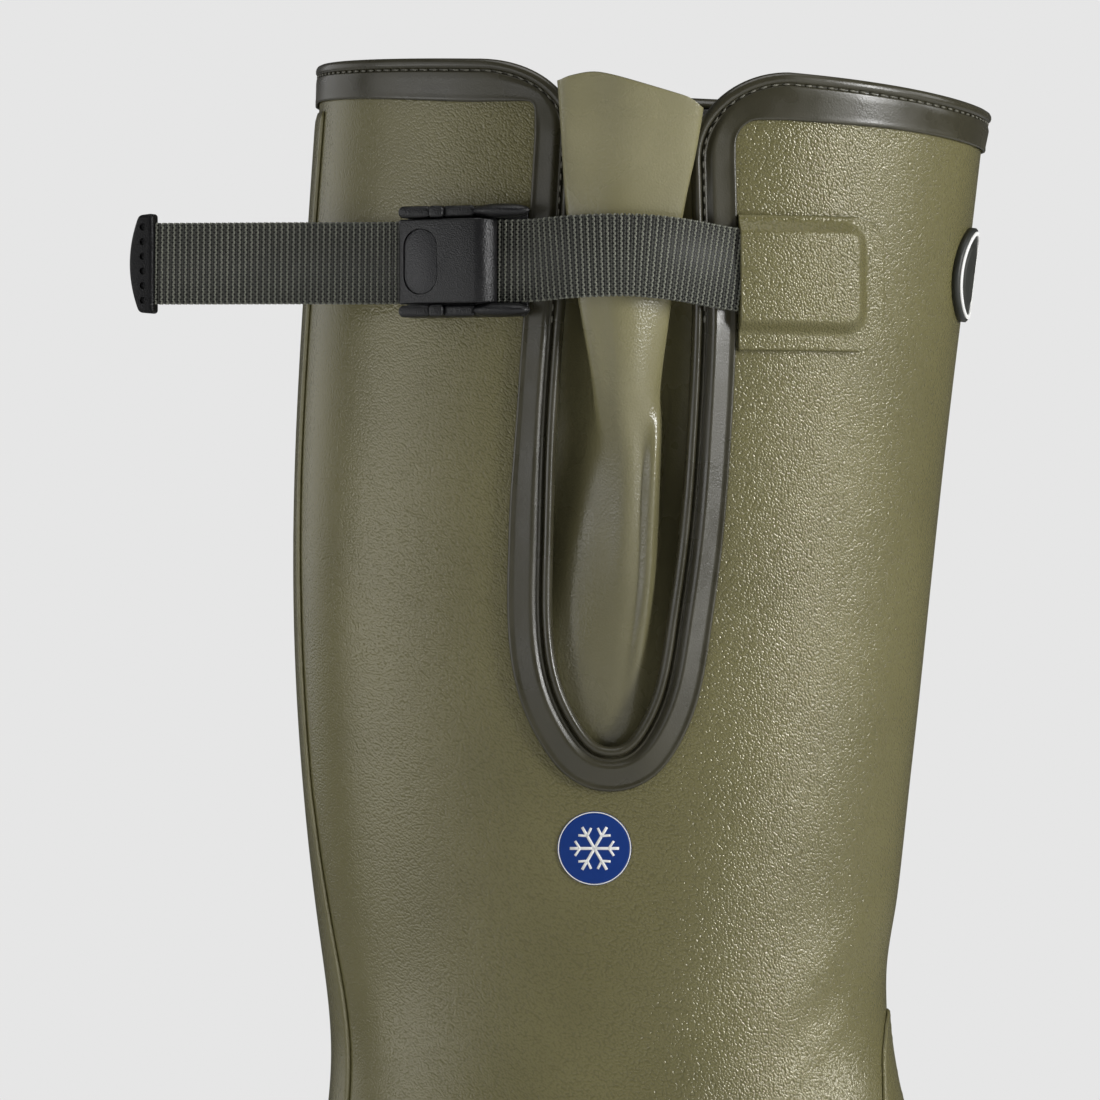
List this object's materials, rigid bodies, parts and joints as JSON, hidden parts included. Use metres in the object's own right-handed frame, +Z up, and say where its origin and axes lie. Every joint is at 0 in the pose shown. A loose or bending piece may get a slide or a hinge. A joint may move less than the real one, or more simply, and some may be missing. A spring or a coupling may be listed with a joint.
{
  "type": "rubber boot",
  "caption": "Tall rubber boot for the right foot, with a lugged sole and a slot in its outer side whose soft gusset is gathered by a webbing strap and a cam buckle.",
  "frame": {"origin": "on the floor, under the middle of the heel", "axes": "+X to the toe, +Y to the inner side of the leg, +Z up along the shaft"},
  "size_m": [0.3371, 0.132, 0.3986],
  "materials": {
    "olive_rubber": "satin, leather-grained",
    "sole_rubber": "matt",
    "footbed": "felted",
    "trim_rubber": "satin, smooth",
    "gusset_rubber": "satin, soft",
    "webbing": "herringbone weave, matt",
    "buckle_plastic": "satin",
    "badge_rubber": "satin"
  },
  "bodies": {
    "root": {"upper": "olive_rubber", "outsole": "sole_rubber", "insole": "footbed", "collar_trim": "trim_rubber", "side_gusset": "gusset_rubber", "strap": "webbing", "strap_patch": "olive_rubber", "buckle_base": "buckle_plastic", "buckle_lever": "buckle_plastic", "strap_tip": "buckle_plastic", "front_badge": "badge_rubber", "back_strip": "olive_rubber", "instep_guard": "olive_rubber"}
  },
  "joints": []
}
